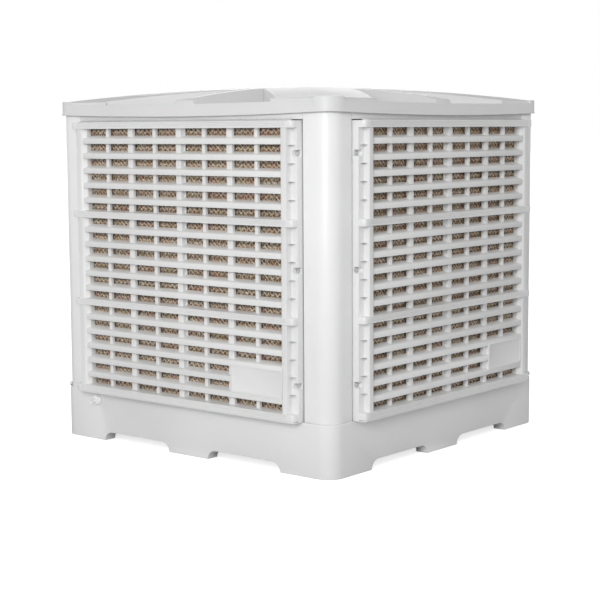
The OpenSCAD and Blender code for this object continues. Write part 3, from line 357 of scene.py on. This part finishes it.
def other_sides(front_piece, kind):
    """Copies of the front's piece, turned by quarter turns for the three other sides."""
    for k, side in enumerate(SIDES[1:], 1):
        node = f"{kind}_{side}"
        mesh = front_piece.data.copy()
        mesh.transform(Matrix.Rotation(math.radians(90 * k), 4, "Z"))
        finish_piece(node + "_body", mesh, BODY_OF[node], SLOT_OF[node], [node])


def fluted_pad(node):
    """A pad of crossed corrugated sheets: their edges show on the face, with a core behind."""
    pitch = 9.6 * MM
    step = 8.2 * MM
    swing = 4.3 * MM
    depth = 20.0 * MM
    half_wall = 1.5 * MM
    slant = 0.75
    overlap = 1.0 * MM
    uneven = (0.75, 1.0)
    frayed = (0.4 * MM, 2.2 * MM)
    lo, hi = box_of(NODES[node].data.vertices)
    sheets = int((hi.x - lo.x - 2 * swing) / pitch)
    left = (lo.x + hi.x - (sheets - 1) * pitch) / 2
    # A few folds more at both ends, which the slant brings into the pad
    folds = range(-2, int((hi.z - lo.z) / step) + 4)
    verts, faces = [], []
    for i in range(sheets):
        lean = slant if i % 2 else -slant
        start = len(verts)
        for j in folds:
            side = 1 if (i + j) % 2 else -1
            x = left + i * pitch + side * swing * random.uniform(*uneven)
            x = min(max(x, lo.x + half_wall), hi.x - half_wall)
            front = lo.y + random.uniform(*frayed)
            z = lo.z + j * step
            for y, z in ((front, z), (lo.y + depth, z + lean * depth)):
                z = min(max(z, lo.z), hi.z)
                verts.append((x - half_wall, y, z))
                verts.append((x + half_wall, y, z))
        for a in range(start, len(verts) - 4, 4):
            b = a + 4
            if abs(verts[a][2] - verts[b][2]) < WELD:
                continue
            faces += [(a, a + 1, b + 1, b), (a, b, b + 2, a + 2), (a + 1, a + 3, b + 3, b + 1)]
    # The core is a plain block
    core = len(verts)
    verts += [(x, y, z) for x in (lo.x, hi.x) for y in (lo.y + depth - overlap, hi.y) for z in (lo.z, hi.z)]
    faces += [tuple(core + k for k in f) for f in
              ((0, 1, 3, 2), (4, 6, 7, 5), (0, 4, 5, 1), (2, 3, 7, 6), (0, 2, 6, 4), (1, 5, 7, 3))]
    mesh = bpy.data.meshes.new(node + "_body")
    mesh.from_pydata(verts, [], faces)
    mesh.validate()
    bm = bmesh.new()
    bm.from_mesh(mesh)
    bmesh.ops.recalc_face_normals(bm, faces=bm.faces)
    bm.to_mesh(mesh)
    bm.free()
    return finish_piece(node + "_body", mesh, BODY_OF[node], SLOT_OF[node], [node])


other_sides(fluted_pad("pad_front"), "pad")
other_sides(dressed("panel_front", PANEL_ROUNDING, before=sink_plate), "panel")
by_side = {f"{kind}_{side}" for kind in ("pad", "panel") for side in SIDES}
for node in NODES:
    if node not in by_side:
        dressed(node, EDGE.get(node, SCREW_ROUNDING if "screws" in node else ROUNDING))


# ---------------------------------------------------------------- stage

FLOOR_REACH = 60.0


def floor_paint():
    """Pale paint that keeps the shadow, with a glow towards the camera that makes it white."""
    s = Shader("floor_paint", (0.86, 0.86, 0.86), 0.9, Specular_IOR_Level=0.0)
    glow = s.node("Emission", Color=(1, 1, 1, 1), Strength=0.72)
    seen = s.node("AddShader")
    s.link(s.bsdf.outputs[0], seen.inputs[0])
    s.link(glow.outputs[0], seen.inputs[1])
    bounced = s.node("BsdfDiffuse", Color=(0.60, 0.60, 0.60, 1))
    s.link(s.by_ray(bounced, seen), s.tree.nodes["Material Output"].inputs["Surface"])
    return s.mat


floor_mesh = bpy.data.meshes.new("floor")
floor_mesh.from_pydata([(sx * FLOOR_REACH, sy * FLOOR_REACH, 0)
                        for sx, sy in ((-1, -1), (1, -1), (1, 1), (-1, 1))], [], [(0, 1, 2, 3)])
floor_mesh.materials.append(floor_paint())
floor = bpy.data.objects.new("floor", floor_mesh)
bpy.context.scene.collection.objects.link(floor)


# ---------------------------------------------------------------- light and camera

def studio():
    """White for the camera, and for the light a sky that is weaker the higher it stands."""
    world = bpy.data.worlds.new("studio")
    bpy.context.scene.world = world
    world.use_nodes = True
    t = Tree(world.node_tree)
    ways = t.node("TexCoord")
    split = t.node("SeparateXYZ")
    fade = t.node("MapRange", To_Min=0.94, To_Max=0.29)
    sky = t.tree.nodes["Background"]
    sky.inputs["Color"].default_value = (1, 1, 1, 1)
    t.link(ways.outputs["Generated"], split.inputs[0])
    t.link(split.outputs["Z"], fade.inputs["Value"])
    t.link(fade.outputs["Result"], sky.inputs["Strength"])
    white = t.node("Background", Color=(1, 1, 1, 1), Strength=1.0)
    t.link(t.by_ray(sky, white), t.tree.nodes["World Output"].inputs["Surface"])


def lamp(name, at, aim, size, power):
    """A square soft lamp that looks at a point."""
    data = bpy.data.lights.new(name, "AREA")
    data.shape = "RECTANGLE"
    data.size = size
    data.size_y = size
    data.energy = power
    obj = bpy.data.objects.new(name, data)
    bpy.context.scene.collection.objects.link(obj)
    obj.location = at
    obj.rotation_euler = (Vector(aim) - Vector(at)).to_track_quat("-Z", "Y").to_euler()


def camera(at, azimuth, down, roll, lens):
    """The photograph's camera: turned from the front towards +X, tipped down and rolled."""
    cam = bpy.data.objects.new("camera", bpy.data.cameras.new("camera"))
    bpy.context.scene.collection.objects.link(cam)
    cam.data.sensor_width = 36.0
    cam.data.lens = lens
    azimuth, down, roll = (math.radians(a) for a in (azimuth, down, roll))
    level = Vector((math.cos(azimuth), math.sin(azimuth), 0))
    ahead = Vector((-math.sin(azimuth) * math.cos(down), math.cos(azimuth) * math.cos(down),
                    -math.sin(down)))
    up = level.cross(ahead)
    axes = (math.cos(roll) * level + math.sin(roll) * up,
            math.cos(roll) * up - math.sin(roll) * level,
            -ahead)
    cam.matrix_world = Matrix.Translation(at) @ Matrix(axes).transposed().to_4x4()
    bpy.context.scene.camera = cam


studio()
MIDDLE = (0, 0, 0.55)
lamp("key", (2.8, -5.5, 2.3), MIDDLE, 2.2, 160.0)
lamp("back", (-3.9, 4.6, 1.5), MIDDLE, 2.2, 75.0)
camera((3.0415, -3.7162, 0.9745), azimuth=39.41, down=6.57, roll=-0.33, lens=88.74)
bpy.context.scene.view_settings.view_transform = "Standard"
